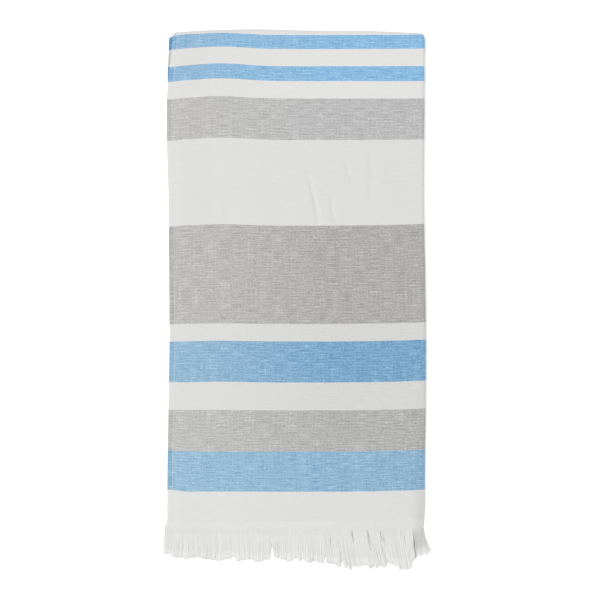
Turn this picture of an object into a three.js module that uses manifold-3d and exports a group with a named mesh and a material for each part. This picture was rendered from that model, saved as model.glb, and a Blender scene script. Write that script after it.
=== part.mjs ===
// A flat-woven cotton fouta towel with fringed ends. It is folded in half lengthwise, then in half
// crosswise, and lies flat. Millimetres: X runs from the selvedges to the lengthwise fold, Y from the fringe
// to the crosswise fold, Z up from the surface that the towel lies on.
//
// A place in the stack is a level, its height above or below the stack's middle. Layers 1 and 2 lie above the
// middle, layers 3 and 4 below it. Layer 1 turns into layer 2 at the lengthwise fold, and into layer 4 at the
// crosswise fold.

import * as THREE from 'three';
import { mergeVertices } from 'three/addons/utils/BufferGeometryUtils.js';
import Module from 'manifold-3d';

const wasm = await Module();
wasm.setup();

// Driving dimensions of the folded towel
const FOLDED_LENGTH = 863; // crosswise fold to the last stitched row
const CLOTH = 1.5; // thickness of one layer
const GAP = 0.3; // clearance between two pieces
const LOFT = 4.25; // level of layer 1 where nothing but cloth is under it
const HEM_WIDTH = 9;
const HEM_THICKNESS = 1.1;
const RETURN_EDGE = 195; // X where the outer half's turned-back layer meets the hidden layers

// Levels that follow from the thicknesses
const LAYER_2 = (GAP + CLOTH) / 2;
const INNER_HEM = GAP / 2 + CLOTH + GAP + HEM_THICKNESS / 2;
const OUTER_HEM = INNER_HEM + HEM_THICKNESS + GAP;
const LOFT_AT_HEM = OUTER_HEM + HEM_THICKNESS / 2 + GAP + CLOTH / 2;

// The side hems hold the selvedge edge of the stack up. Beside them layer 1 settles to its usual loft, and the
// hidden layers fill the stack.
const SETTLING = [
  { x: -205, lifted: 1, filled: 0 },
  { x: -198, lifted: 0.72, filled: 0.5 },
  { x: -192, lifted: 0.28, filled: 1 },
  { x: -185, lifted: 0, filled: 1 },
];

// Nose of the crosswise fold: how far each piece reaches past the line where the fold starts to turn
const OUTER_REACH = 15.25;
const RETURN_REACH = 7.25;
const OUTER_HEM_REACH = 13.65;
const INNER_HEM_REACH = 6.85;
const INNER_REACH = 6;
const INNER_NOSE = [20, 40, 60, 80].map((degrees) => THREE.MathUtils.degToRad(degrees));
const FOLD_START = OUTER_REACH + CLOTH / 2;
const FOLD_SETTLES = 120; // distance from the fold over which its unevenness fades

// Where the hidden layers part at their edges, and how those edges are rounded
const PARTING = { depth: 8, half: 0.25, core: 0.6 };
const RIM = [
  { inset: 0, height: 0.5 },
  { inset: 0.6, height: 0.85 },
  { inset: 1.6, height: 1 },
];

// Edges of the folded towel at a distance from the crosswise fold
const EDGES = [
  { distance: 0, outerLeft: -216, innerLeft: -225, right: 225, roll: 5 },
  { distance: 30, outerLeft: -217.5, innerLeft: -225.5, right: 225, roll: 5 },
  { distance: 62, outerLeft: -221.5, innerLeft: -226, right: 225, roll: 5 },
  { distance: 105, outerLeft: -226.8, innerLeft: -226.2, right: 225, roll: 5 },
  { distance: 160, outerLeft: -227.8, innerLeft: -226, right: 224.6, roll: 5 },
  { distance: 300, outerLeft: -224.5, innerLeft: -223.5, right: 223.8, roll: 5 },
  { distance: 450, outerLeft: -224, innerLeft: -223, right: 226.2, roll: 6 },
  { distance: 560, outerLeft: -223.5, innerLeft: -222.5, right: 227.6, roll: 6 },
  { distance: 650, outerLeft: -225, innerLeft: -223.5, right: 227.3, roll: 7 },
  { distance: 790, outerLeft: -226.8, innerLeft: -225, right: 226.2, roll: 12 },
  { distance: 863, outerLeft: -227, innerLeft: -225.5, right: 225.6, roll: 13 },
];

// How far the crosswise fold falls short of a straight line, across the towel
const FOLD_LINE = [
  { x: -225, dip: 4.5 },
  { x: -160, dip: 0.3 },
  { x: -50, dip: -1.5 },
  { x: 0, dip: 0 },
  { x: 150, dip: 1.9 },
  { x: 225, dip: 5.5 },
];

// Soft rises where the upper layers don't lie quite flat
const RISES = [
  { x: -150, distance: 95, alongX: 60, alongY: 70, height: 1.1 },
  { x: 55, distance: 290, alongX: 40, alongY: 85, height: 1.4 },
  { x: 130, distance: 230, alongX: 35, alongY: 110, height: 0.8 },
  { x: -70, distance: 480, alongX: 110, alongY: 90, height: 0.9 },
  { x: 148, distance: 770, alongX: 30, alongY: 75, height: 1.5 },
  { x: -60, distance: 760, alongX: 80, alongY: 70, height: 0.8 },
];

// Fringe
const HEADER = 14; // length of the woven strip past the last stitched row
const LOCK_ROOT = { width: 3.4, height: 1 };
const LOCK_TIP = { width: 1.3, height: 0.8 };
const LOCK_SINK = 2; // how deep a lock's root sits in the header
const FRINGE_SETTLES = 72; // length over which a lock comes down to its resting height

// Shape of the fringe across the towel, at the root of each lock
const FRINGE = [
  { x: -228, length: 43, lean: -8 },
  { x: -205, length: 50, lean: -4 },
  { x: -138, length: 54, lean: -1 },
  { x: -60, length: 54, lean: 0 },
  { x: -47, length: 47, lean: -1.5 },
  { x: -43, length: 33, lean: 0.5 },
  { x: -37, length: 45, lean: 1.5 },
  { x: 10, length: 51, lean: 2 },
  { x: 48, length: 48, lean: 3.5 },
  { x: 60, length: 60, lean: 7 },
  { x: 84, length: 71, lean: 11 },
  { x: 105, length: 65, lean: 12 },
  { x: 165, length: 65, lean: 12.5 },
  { x: 190, length: 69, lean: 11 },
  { x: 204, length: 64, lean: 7 },
  { x: 212, length: 54, lean: 9 },
  { x: 226, length: 43, lean: 10 },
];

// Layers of the fringe: side is above or below the stack's middle, tip is the height where a lock rests
const FRINGE_LAYERS = {
  layer1: { side: 1, level: LOFT, locks: 92, tip: 5.2, shorter: 0 },
  layer2: { side: 1, level: LAYER_2, locks: 44, tip: 3.7, shorter: 4 },
  layer3: { side: -1, level: LAYER_2, locks: 44, tip: 2.1, shorter: 6 },
  layer4: { side: -1, level: LOFT, locks: 52, tip: 0.75, shorter: 5 },
};

// Steps of the meshes
const STEPS = { upper: 17, nose: 8, lower: 8, across: 8, roll: 8, lock: 3 };

const COLOURS = { cloth: 0xc9d3da, inner: 0x6f98b4, hem: 0xd8dde0, fringe: 0xe2e2e0 };

const clamp = THREE.MathUtils.clamp;
const lerp = THREE.MathUtils.lerp;
const smoothstep = THREE.MathUtils.smoothstep;

// Value of a table's column, read between its rows
function read(table, key, at, column) {
  const next = table.findIndex((row) => row[key] >= at);
  if (next < 0) return table[table.length - 1][column];
  if (next === 0) return table[0][column];
  const [low, high] = [table[next - 1], table[next]];
  return lerp(low[column], high[column], (at - low[key]) / (high[key] - low[key]));
}

function edge(distance, column) {
  return read(EDGES, 'distance', clamp(distance, 0, FOLDED_LENGTH), column);
}

// Level of layer 1, which the stacked hems lift at the selvedge edge
function outerLevel(x) {
  return lerp(LOFT, LOFT_AT_HEM, read(SETTLING, 'x', x, 'lifted'));
}

// Columns that all the broad layers share, so that they nest: the stretch beside the hems, then even steps
function sharedColumns() {
  const settling = SETTLING.map((row) => row.x);
  const start = settling[settling.length - 1];
  const even = Array.from({ length: STEPS.across }, (_, i) => (i + 1) / STEPS.across);
  return [...settling, ...even.map((part) => lerp(start, RETURN_EDGE - GAP, part))];
}

// Half the thickness of the hidden layers, which fill the stack up to layer 1 away from the hems
function innerLevel(x) {
  return lerp(GAP / 2 + CLOTH, LOFT - CLOTH / 2 - GAP, read(SETTLING, 'x', x, 'filled'));
}

function rise(x, distance) {
  return RISES.reduce((sum, bump) => {
    const across = (x - bump.x) / bump.alongX;
    const along = (distance - bump.distance) / bump.alongY;
    return sum + bump.height * Math.exp(-(across ** 2) - along ** 2);
  }, 0);
}

// A point of the folded stack. A station says how far from the crosswise fold it lies, and how far the cloth
// has turned there: 0 on the upper layers, half a turn on the lower ones.
function place(x, level, reach, station) {
  const { distance, turn } = station;
  const nearFold = 1 - smoothstep(distance, FOLD_START, FOLD_SETTLES);
  const dip = read(FOLD_LINE, 'x', x, 'dip') * nearFold;
  const upper = Math.max(Math.cos(turn), 0);
  const soft = rise(x, distance) * upper * clamp(level / LOFT, 0, 1);
  const middle = outerLevel(x) + CLOTH / 2;
  return new THREE.Vector3(
    x,
    -distance - dip + reach * Math.sin(turn),
    middle + level * Math.cos(turn) + soft,
  );
}

function run(count, turn) {
  return Array.from({ length: count + 1 }, (_, i) => {
    const far = (i / count) ** 1.25;
    return { distance: lerp(FOLD_START, FOLDED_LENGTH, far), turn };
  });
}

// Stations from the end of the upper layers, round the crosswise fold, to the end of the lower layers
function foldedStations() {
  const nose = Array.from({ length: STEPS.nose - 1 }, (_, i) => ({
    distance: FOLD_START,
    turn: (Math.PI * (i + 1)) / STEPS.nose,
  }));
  return [...run(STEPS.upper, 0).reverse(), ...nose, ...run(STEPS.lower, Math.PI)];
}

// A closed wall between two grids of points, where at(column, row, side) gives a point on side 1 or -1
function wall(columns, rows, at) {
  const positions = [];
  const index = [];
  const sheet = (columns + 1) * (rows + 1);
  const id = (side, i, j) => (side > 0 ? 0 : sheet) + i * (rows + 1) + j;
  const quad = (a, b, c, d) => index.push(a, b, c, a, c, d);
  for (const side of [1, -1]) {
    for (let i = 0; i <= columns; i += 1) {
      for (let j = 0; j <= rows; j += 1) positions.push(...at(i, j, side).toArray());
    }
  }
  for (let i = 0; i < columns; i += 1) {
    for (let j = 0; j < rows; j += 1) {
      quad(id(1, i, j), id(1, i + 1, j), id(1, i + 1, j + 1), id(1, i, j + 1));
      quad(id(-1, i, j), id(-1, i, j + 1), id(-1, i + 1, j + 1), id(-1, i + 1, j));
    }
    quad(id(1, i, 0), id(-1, i, 0), id(-1, i + 1, 0), id(1, i + 1, 0));
    quad(id(1, i, rows), id(1, i + 1, rows), id(-1, i + 1, rows), id(-1, i, rows));
  }
  for (let j = 0; j < rows; j += 1) {
    quad(id(1, 0, j), id(1, 0, j + 1), id(-1, 0, j + 1), id(-1, 0, j));
    quad(id(1, columns, j), id(-1, columns, j), id(-1, columns, j + 1), id(1, columns, j + 1));
  }
  const geometry = new THREE.BufferGeometry();
  geometry.setAttribute('position', new THREE.Float32BufferAttribute(positions, 3));
  geometry.setIndex(index);
  return geometry;
}

// Joins closed geometries that overlap into one solid
function fuse(geometries) {
  const solids = geometries.map((geometry) => {
    const merged = mergeVertices(geometry);
    const vertProperties = new Float32Array(merged.attributes.position.array);
    const triVerts = new Uint32Array(merged.index.array);
    return new wasm.Manifold(new wasm.Mesh({ numProp: 3, vertProperties, triVerts }));
  });
  const joined = solids.reduce((sum, solid) => sum.add(solid)).getMesh();
  const geometry = new THREE.BufferGeometry();
  geometry.setAttribute('position', new THREE.BufferAttribute(joined.vertProperties, 3));
  geometry.setIndex(new THREE.BufferAttribute(joined.triVerts, 1));
  return geometry;
}

// Middle line of the outer cloth across the towel: along layer 1, round the lengthwise fold and back to
// X = last. Each point has the direction in which the wall's outer side lies.
function acrossLine(distance, last, backSteps) {
  const left = edge(distance, 'outerLeft');
  const roll = edge(distance, 'roll');
  const turnStart = edge(distance, 'right') - roll;
  const flat = [left, ...sharedColumns(), turnStart];
  const line = flat.map((x) => ({ x, level: outerLevel(x), outX: 0, outLevel: 1 }));
  const half = (LOFT - LAYER_2) / 2;
  for (let i = 1; i < STEPS.roll; i += 1) {
    const angle = Math.PI / 2 - (Math.PI * i) / STEPS.roll;
    line.push({
      x: turnStart + (roll - CLOTH / 2) * Math.cos(angle),
      level: LAYER_2 + half + half * Math.sin(angle),
      outX: Math.cos(angle),
      outLevel: Math.sin(angle),
    });
  }
  for (let i = 0; i <= backSteps; i += 1) {
    line.push({ x: lerp(turnStart, last, i / backSteps), level: LAYER_2, outX: 0, outLevel: -1 });
  }
  return line;
}

// A point on one side of the outer cloth's wall
function wallPoint(point, side, station) {
  const out = (side * CLOTH) / 2;
  const outward = clamp((point.level - LAYER_2) / (LOFT - LAYER_2), 0, 1);
  const reach = lerp(RETURN_REACH, OUTER_REACH, outward) + out * point.outLevel;
  return place(point.x + out * point.outX, point.level + out * point.outLevel, reach, station);
}

function outerCloth() {
  const stations = foldedStations();
  const lines = stations.map((station) => acrossLine(station.distance, RETURN_EDGE, 1));
  return wall(lines[0].length - 1, stations.length - 1, (i, j, side) =>
    wallPoint(lines[j][i], side, stations[j]),
  );
}

// A hem, turned under along the selvedges and round the crosswise fold
function sideHem(level, reach, leftColumn) {
  const stations = foldedStations();
  return wall(1, stations.length - 1, (i, j, side) => {
    const x = edge(stations[j].distance, leftColumn) + i * HEM_WIDTH;
    const out = (side * HEM_THICKNESS) / 2;
    return place(x, level + out, reach + out, stations[j]);
  });
}

// The hidden layers as one rounded solid, which parts into two layers at the selvedges and at the end
function innerLayers() {
  const nose = INNER_NOSE.map((turn) => ({ distance: FOLD_START, turn }));
  const stations = [...run(STEPS.upper, 0).reverse(), ...nose];
  const layer = (inset, low, high) => {
    const rows = stations.map((station) => {
      const distance = Math.min(station.distance, FOLDED_LENGTH - inset);
      const left = edge(distance, 'innerLeft') + inset;
      const xs = [...RIM.map((rim) => left + rim.inset), ...sharedColumns()];
      return { distance, turn: station.turn, xs };
    });
    return wall(rows[0].xs.length - 1, rows.length - 1, (i, j, side) => {
      const x = rows[j].xs[i];
      const roundness = Math.min(RIM[i]?.height ?? 1, RIM[j]?.height ?? 1);
      const top = lerp(PARTING.half, innerLevel(x), roundness);
      return place(x, side > 0 ? high(top) : low(top), INNER_REACH, rows[j]);
    });
  };
  return fuse([
    layer(0, () => PARTING.half, (top) => top),
    layer(0, (top) => -top, () => -PARTING.half),
    layer(PARTING.depth, () => -PARTING.core, () => PARTING.core),
  ]);
}

// The header strip of two joined layers, which turns with them at the lengthwise fold
function header(turn) {
  const last = edge(FOLDED_LENGTH, 'innerLeft') + GAP;
  const line = acrossLine(FOLDED_LENGTH, last, STEPS.across);
  const ends = turn === 0 ? [HEADER, GAP] : [GAP, HEADER];
  return wall(line.length - 1, 1, (i, j, side) => {
    const point = wallPoint(line[i], side, { distance: FOLDED_LENGTH, turn });
    return point.setY(-FOLDED_LENGTH - ends[j]);
  });
}

// A lock of warp ends, three-sided, from its root in the header to its tip
function lock(root, length, lean, restHeight) {
  const corners = [[-0.5, -1 / 3], [0.5, -1 / 3], [0, 2 / 3]];
  const positions = [];
  const index = [];
  for (let step = 0; step <= STEPS.lock; step += 1) {
    const t = step / STEPS.lock;
    const width = lerp(LOCK_ROOT.width, LOCK_TIP.width, t);
    const height = lerp(LOCK_ROOT.height, LOCK_TIP.height, t);
    const z = lerp(root.z, restHeight, Math.min((length * t) / FRINGE_SETTLES, 1));
    for (const [across, up] of corners) {
      positions.push(root.x + lean * t ** 1.3 + across * width, root.y - length * t, z + up * height);
    }
  }
  for (let step = 0; step < STEPS.lock; step += 1) {
    for (let k = 0; k < 3; k += 1) {
      const [a, b] = [step * 3 + k, step * 3 + ((k + 1) % 3)];
      index.push(a, b, b + 3, a, b + 3, a + 3);
    }
  }
  const last = STEPS.lock * 3;
  index.push(0, 2, 1, last, last + 1, last + 2);
  const geometry = new THREE.BufferGeometry();
  geometry.setAttribute('position', new THREE.Float32BufferAttribute(positions, 3));
  geometry.setIndex(index);
  return geometry;
}

// Uneven lengths that are the same each time: a fraction from -1 to 1
function uneven(i) {
  const value = Math.sin(i * 12.9898 + 4.1) * 43758.5453;
  return 2 * (value - Math.floor(value)) - 1;
}

function fringeLayer({ side, level, locks, tip, shorter }) {
  const isOuter = level === LOFT;
  const left = edge(FOLDED_LENGTH, isOuter ? 'outerLeft' : 'innerLeft') + LOCK_ROOT.width;
  const right = edge(FOLDED_LENGTH, 'right') - LOCK_ROOT.width;
  const bend = edge(FOLDED_LENGTH, 'roll') - LOCK_ROOT.width;
  return Array.from({ length: locks }, (_, i) => {
    const x = lerp(left, right, i / (locks - 1));
    const fallen = clamp((x - right + bend) / bend, 0, 1);
    const half = (LOFT - LAYER_2) / 2;
    const drop = half * (1 - Math.sqrt(1 - 0.9 * fallen ** 2));
    const rest = isOuter ? outerLevel(x) - drop : level + drop;
    const root = place(x, rest, 0, { distance: FOLDED_LENGTH, turn: side > 0 ? 0 : Math.PI });
    root.setY(-FOLDED_LENGTH - HEADER + LOCK_SINK);
    const length = read(FRINGE, 'x', x, 'length') - shorter + 2 * uneven(i + locks) + LOCK_SINK;
    return lock(root, length, read(FRINGE, 'x', x, 'lean'), tip);
  });
}

function fringe(turn, layers) {
  return fuse([header(turn), ...layers.flatMap((layer) => fringeLayer(layer))]);
}

function piece(name, geometry, color) {
  const material = new THREE.MeshStandardMaterial({ color, roughness: 0.95, metalness: 0 });
  const mesh = new THREE.Mesh(geometry, material);
  mesh.name = name;
  return mesh;
}

function towel() {
  const { layer1, layer2, layer3, layer4 } = FRINGE_LAYERS;
  const group = new THREE.Group();
  group.add(
    piece('outer_cloth', outerCloth(), COLOURS.cloth),
    piece('inner_layers', innerLayers(), COLOURS.inner),
    piece('side_hem_outer', sideHem(OUTER_HEM, OUTER_HEM_REACH, 'outerLeft'), COLOURS.hem),
    piece('side_hem_inner', sideHem(INNER_HEM, INNER_HEM_REACH, 'innerLeft'), COLOURS.hem),
    piece('fringe_near_end', fringe(0, [layer1, layer2]), COLOURS.fringe),
    piece('fringe_far_end', fringe(Math.PI, [layer4, layer3]), COLOURS.fringe),
  );
  return group;
}

// The origin is under the middle of the whole towel, on the surface that it lies on
function centred(group) {
  const box = new THREE.Box3().setFromObject(group);
  const middle = box.getCenter(new THREE.Vector3());
  group.position.set(-middle.x, -middle.y, -box.min.z);
  return group;
}

const object = centred(towel());

export default object;
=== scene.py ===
# A folded fouta towel: one woven sheet with turned side hems, stitches and fringes, around its solids.
import math

import bpy
import numpy as np
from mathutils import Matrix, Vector


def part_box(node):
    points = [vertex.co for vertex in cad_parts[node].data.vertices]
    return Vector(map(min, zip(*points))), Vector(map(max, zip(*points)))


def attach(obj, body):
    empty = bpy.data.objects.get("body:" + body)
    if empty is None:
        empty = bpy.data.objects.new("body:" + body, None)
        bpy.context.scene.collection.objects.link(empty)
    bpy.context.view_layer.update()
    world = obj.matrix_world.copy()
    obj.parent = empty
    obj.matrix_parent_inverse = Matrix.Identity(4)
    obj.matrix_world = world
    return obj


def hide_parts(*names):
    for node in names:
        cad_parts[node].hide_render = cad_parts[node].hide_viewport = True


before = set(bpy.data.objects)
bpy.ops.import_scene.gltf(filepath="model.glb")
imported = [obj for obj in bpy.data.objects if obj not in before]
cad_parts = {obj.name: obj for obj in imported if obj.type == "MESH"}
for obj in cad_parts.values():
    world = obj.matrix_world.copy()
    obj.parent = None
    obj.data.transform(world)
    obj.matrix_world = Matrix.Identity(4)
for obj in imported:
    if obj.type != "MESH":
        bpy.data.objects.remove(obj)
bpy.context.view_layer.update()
cloth_low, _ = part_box("outer_cloth")

# Sizes are in millimetres up to the point where a mesh is written
MM = 0.001
LEFT_MOST = 227.8  # furthest reach of the selvedge edge, which places the towel on its solid
X_SHIFT = cloth_low[0] / MM + LEFT_MOST
HEM_Y = cloth_low[1] / MM
FOLDED_LENGTH = 863.0  # crosswise fold to the last stitched row
HEADER = 14.0  # woven strip past that row
FRINGE_START = FOLDED_LENGTH + HEADER

# The stack: a level is a height from the stack's middle
CLOTH = 1.5  # thickness of the cloth with its nap
LOFT = 4.25  # level of layer 1, the half that shows
LOFT_AT_HEM = 5.5  # its level over the side hems
LAYER_2 = 1.45  # level of layer 2, the hidden half
LAYER_2_AT_FOLD = 0.9  # its level by the lengthwise fold and under the hems
OUTER_HEM = 3.9
INNER_HEM = 2.5
HEM_WIDTH = 9.0
HEM_TURN = 0.8  # radius of the turned hem
SEAM_INSET = 0.6  # from the hem's own edge in to its stitches
SHEET_HALF = 0.7  # half the sheet's thickness
HEM_HALF = 0.5
UNDER_HEMS = (-210.0, -190.0)  # x over which layer 2 rises from under the hems
RETURN_EDGE = 195.0  # x where it has come down again, before the lengthwise fold
RETURN_SLOPE = 20.0
RETURN_WIDENS = 15.0  # stretch before that over which its turn at the crosswise fold widens

# Nose of the crosswise fold: how far each part of the sheet reaches past the start of its turn
OUTER_REACH = 15.25
OUTER_HEM_REACH = 13.65
INNER_HEM_REACH = 8.4
RETURN_REACH = 7.25
INNER_REACH = 6.6
FOLD_START = 16.0
FOLD_SETTLES = 120.0  # distance where the fold no longer draws the weave
# The fold's corners are drawn in, from one x to another, and most at the tip of the nose
CORNER = {"drawn": 2.6, "start": 190.0, "end": 228.0, "power": 4}
END_SAG = {"share": 0.07, "start": FOLDED_LENGTH - 4}  # height that the stack loses by its fringed end


def named(columns, *rows):
    """A table as arrays under its columns' names."""
    return dict(zip(columns.split(), np.array(rows, float).T))


# Along the towel from the crosswise fold: x of each half's hemmed edge and of the lengthwise fold, and how
# wide the roll at that fold is
EDGES = named(
    "distance outer_left inner_left right roll",
    (0, -217.6, -223.9, 225.5, 5),
    (30, -219.1, -224.3, 225.5, 5),
    (62, -222.3, -225.9, 225, 5),
    (105, -226.6, -226, 225, 5),
    (160, -227.8, -226, 224.6, 5),
    (300, -224.6, -223.5, 223.8, 5),
    (450, -223.3, -222.4, 226.2, 6),
    (560, -223.0, -222.0, 227.4, 6),
    (650, -224.6, -223.2, 227.1, 7),
    (790, -226.5, -224.8, 226.2, 12),
    (846, -227, -225.3, 226.4, 13),
    (863, -227.4, -225.7, 225.4, 13),
    (877, -232.3, -230, 224, 12),
)
# Across the towel: how far the crosswise fold's line dips towards the fringe
FOLD_LINE = named(
    "x dip",
    (-225, 4.5),
    (-160, 0.3),
    (-50, -1.5),
    (0, 0),
    (150, 1.9),
    (225, 5.5),
)
# How much of the side hems' thickness layer 1 is lifted by, until it settles beside them
SETTLING = named(
    "x lifted",
    (-230, 1),
    (-208, 1),
    (-190, 0.74),
    (-165, 0.26),
    (-145, 0),
    (-130, 0),
)
# Soft rises of layer 1, and a fall by the lower corner of the lengthwise fold
RISES = named(
    "x distance along_x along_y height",
    (-150, 95, 60, 70, 1.1),
    (55, 290, 40, 85, 1.4),
    (130, 230, 35, 110, 0.8),
    (-70, 480, 110, 90, 0.9),
    (148, 770, 30, 75, 1.5),
    (-60, 760, 80, 70, 0.8),
    (233, 850, 13, 150, -4.2),
)
# The whole stack is pressed thin towards the lower corner of the lengthwise fold
PRESSED = {"x": 233.5, "distance": 876.0, "along_x": 16.5, "along_y": 150.0, "share": 0.82}
# How far the weave is drawn towards the crosswise fold: along the selvedge edge, in a hump beside it, and
# along the lengthwise fold
BOW = named(
    "distance left hump right",
    (0, -2, 3.5, 1),
    (16, -2, 3.8, 1),
    (60, -1.8, 5.2, 0.5),
    (110, -2, 4.3, 0),
    (190, -1.8, 4.2, 1.2),
    (345, -1.8, 2.6, 3.2),
    (515, -0.8, 1.2, 3.2),
    (620, 1, 1.5, 3.5),
    (740, 2.2, 0, 3.2),
    (810, 4.4, 0.4, 3.5),
    (863, 0, 0, 5),
    (877, 0, 0, 5),
)
BOW_LEFT = (190.0, 226.0)  # how far left of the middle it comes in and is whole
BOW_HUMP = {"x": -132.0, "width": 56.0}
BOW_RIGHT = {"x": 225.0, "power": 3}  # where it is whole, and how late it comes in
# Creases pressed into layer 1: soft troughs with a raised rim on their right
CREASES = [
    {"x": (17, 23, 29, 38), "distance": (252, 269, 292, 345), "width": 2.8, "depth": 1.6},
    {"x": (59, 62, 69), "distance": (285, 318, 345), "width": 2.6, "depth": 1.1},
    {"x": (82, 89, 97), "distance": (225, 248, 272), "width": 3.0, "depth": 0.8},
    {"x": (129, 129.5), "distance": (200, 325), "width": 4.0, "depth": 0.8},
    {"x": (-128, -116), "distance": (305, 345), "width": 2.8, "depth": 0.8},
    {"x": (141, 149, 152), "distance": (700, 770, 830), "width": 7.0, "depth": 1.1},
]
CREASE_RIM = {"offset": 3.4, "height": 0.15}
CREASE_STEEP = 0.75  # a trough's width on its left, against the width stated
CREASE_GENTLE = 2.0  # and on its right
CREASE_FADE = 0.6  # the lower, the longer a crease keeps its depth
# The hem's stitches pucker the cloth beside them, in waves of two lengths, and draw it into a groove. The
# last stitched row stands proud.
PUCKER = {"height": 0.16, "reach": 5.0, "wave": 4.1, "second_wave": 6.7, "share": 0.7, "phase": 1.3}
GROOVE = {"depth": 0.28, "reach": 2.2}
PROUD_ROW = {"height": 0.12, "reach": 1.3}

# Mesh lines: stretches of distance along the towel, and of X across it, each with its step
UPPER_STEPS = named(
    "start end step",
    (16, 40, 3.5),
    (40, 140, 6),
    (140, 350, 3.2),
    (350, 850, 6.2),
    (850, 860, 2.5),
    (860, 866, 0.75),
    (866, 877, 2.2),
)
LOWER_STEPS = named("start end step", (16, 40, 4), (40, 850, 22), (850, 877, 4.5))
ACROSS_STEPS = named(
    "start end step",
    (-225, 10, 5.6),
    (10, 105, 1.9),
    (105, 140, 2.8),
    (140, 205, 5),
    (205, 220, 3),
)
# Counts of lines across layer 2 and the hems' undersides, and of steps round each turn
HIDDEN_LINES = 22
HEM_LINES = 4
NOSE_TURNS = 14
ROLL_TURNS = 14
HEM_TURNS = 6
ROLL_READ = 0.98  # the level on the roll is read up to this share of it, short of its upright rim
SHEET_SHARP = 50  # degrees past which an edge stays sharp
TUBE_SHARP = 70

# Each stripe's colour beside the selvedge edge and from the middle on. The change between them is partly
# more of the dyed weft showing and partly painted shade and light across the towel.
PALETTE = {
    "white_top": ((224, 224, 223), (228, 228, 227)),
    "sky": ((147, 186, 216), (137, 187, 225)),
    "grey_top": ((193, 192, 191), (188, 188, 188)),
    "white": ((224, 224, 222), (222, 222, 220)),
    "grey": ((189, 188, 186), (175, 174, 173)),
    "white_low": ((222, 222, 220), (215, 215, 213)),
    "blue": ((150, 186, 211), (121, 167, 202)),
    "grey_low": ((192, 192, 190), (179, 179, 178)),
    "blue_low": ((152, 189, 213), (143, 181, 208)),
    "white_end": ((225, 225, 224), (222, 222, 221)),
    "header": ((226, 226, 225), (225, 225, 224)),
}
# From the crosswise fold to the end: what each stripe is, and the distance where it stops
STRIPES = [
    ("white_top", 8.8),
    ("sky", 33.4),
    ("white_top", 63.8),
    ("sky", 89.7),
    ("white_top", 120.4),
    ("grey_top", 193.4),
    ("white", 344.0),
    ("grey", 516.9),
    ("white_low", 547.6),
    ("blue", 619.7),
    ("white_low", 668.7),
    ("grey_low", 741.0),
    ("blue_low", 811.7),
    ("white_end", 863.5),
    ("header", 900.0),
]


def smoothstep(at, low, high):
    t = np.clip((at - low) / (high - low), 0, 1)
    return t * t * (3 - 2 * t)


def bell(*offsets):
    return np.exp(-sum(offset**2 for offset in offsets))


def read(table, key, column, at):
    """A table's column, read smoothly between its rows."""
    xs, ys = table[key], table[column]
    slopes = np.gradient(ys, xs)
    at = np.clip(at, xs[0], xs[-1])
    i = np.clip(np.searchsorted(xs, at) - 1, 0, len(xs) - 2)
    width = xs[i + 1] - xs[i]
    t = (at - xs[i]) / width
    start = (1 + 2 * t) * (1 - t) ** 2 * ys[i] + t * (1 - t) ** 2 * width * slopes[i]
    end = t * t * (3 - 2 * t) * ys[i + 1] - t * t * (1 - t) * width * slopes[i + 1]
    return start + end


def edge(distance, column):
    return read(EDGES, "distance", column, distance)


def outer_level(x):
    return LOFT + (LOFT_AT_HEM - LOFT) * np.clip(read(SETTLING, "x", "lifted", x), 0, 1)


def layer_2_level(x):
    """The hidden layer's level: pressed down under the hems, and at the lengthwise fold."""
    inside = smoothstep(x, *UNDER_HEMS) * (1 - smoothstep(x, RETURN_EDGE - RETURN_SLOPE, RETURN_EDGE))
    return LAYER_2_AT_FOLD + (LAYER_2 - LAYER_2_AT_FOLD) * inside


def rise(x, distance):
    total = np.zeros(np.broadcast(x, distance).shape)
    for i, height in enumerate(RISES["height"]):
        across = (x - RISES["x"][i]) / RISES["along_x"][i]
        along = (distance - RISES["distance"][i]) / RISES["along_y"][i]
        total += height * bell(across, along)
    return total


def pressed(x, distance):
    across = (x - PRESSED["x"]) / PRESSED["along_x"]
    along = (distance - PRESSED["distance"]) / PRESSED["along_y"]
    return 1 - PRESSED["share"] * bell(across, along)


def crease(x, distance):
    total = np.zeros(np.broadcast(x, distance).shape)
    for line in CREASES:
        start, end = line["distance"][0], line["distance"][-1]
        t = np.clip((distance - start) / (end - start), 0, 1)
        fade = np.sin(np.pi * t) ** CREASE_FADE
        offset = (x - np.interp(distance, line["distance"], line["x"])) / line["width"]
        trough = -bell(offset / np.where(offset < 0, CREASE_STEEP, CREASE_GENTLE))
        rim = CREASE_RIM["height"] * bell(offset - CREASE_RIM["offset"])
        total += line["depth"] * fade * (trough + rim)
    return total


def pucker(x, distance, turn):
    """What the stitches do to the level of the upper side."""
    from_seam = x - edge(distance, "outer_left") - HEM_WIDTH
    waves = np.sin(distance / PUCKER["wave"])
    waves = waves + PUCKER["share"] * np.sin(distance / PUCKER["second_wave"] + PUCKER["phase"])
    beside = PUCKER["height"] * waves * bell(from_seam / PUCKER["reach"])
    groove = -GROOVE["depth"] * bell(from_seam / GROOVE["reach"])
    row = PROUD_ROW["height"] * bell((distance - FOLDED_LENGTH) / PROUD_ROW["reach"])
    return (beside + groove + row) * np.maximum(np.cos(turn), 0)


def bow(x, distance):
    left = read(BOW, "distance", "left", distance) * smoothstep(-x, *BOW_LEFT)
    hump = read(BOW, "distance", "hump", distance) * bell((x - BOW_HUMP["x"]) / BOW_HUMP["width"])
    share = (np.clip(x, 0, None) / BOW_RIGHT["x"]) ** BOW_RIGHT["power"]
    return left + hump + read(BOW, "distance", "right", distance) * share


def near_fold(distance):
    return 1 - smoothstep(distance, FOLD_START, FOLD_SETTLES)


def pattern_shift(x, distance):
    """How much further the weave is drawn over the crosswise fold than the fold's own line."""
    return bow(x, distance) + read(FOLD_LINE, "x", "dip", x)


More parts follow.
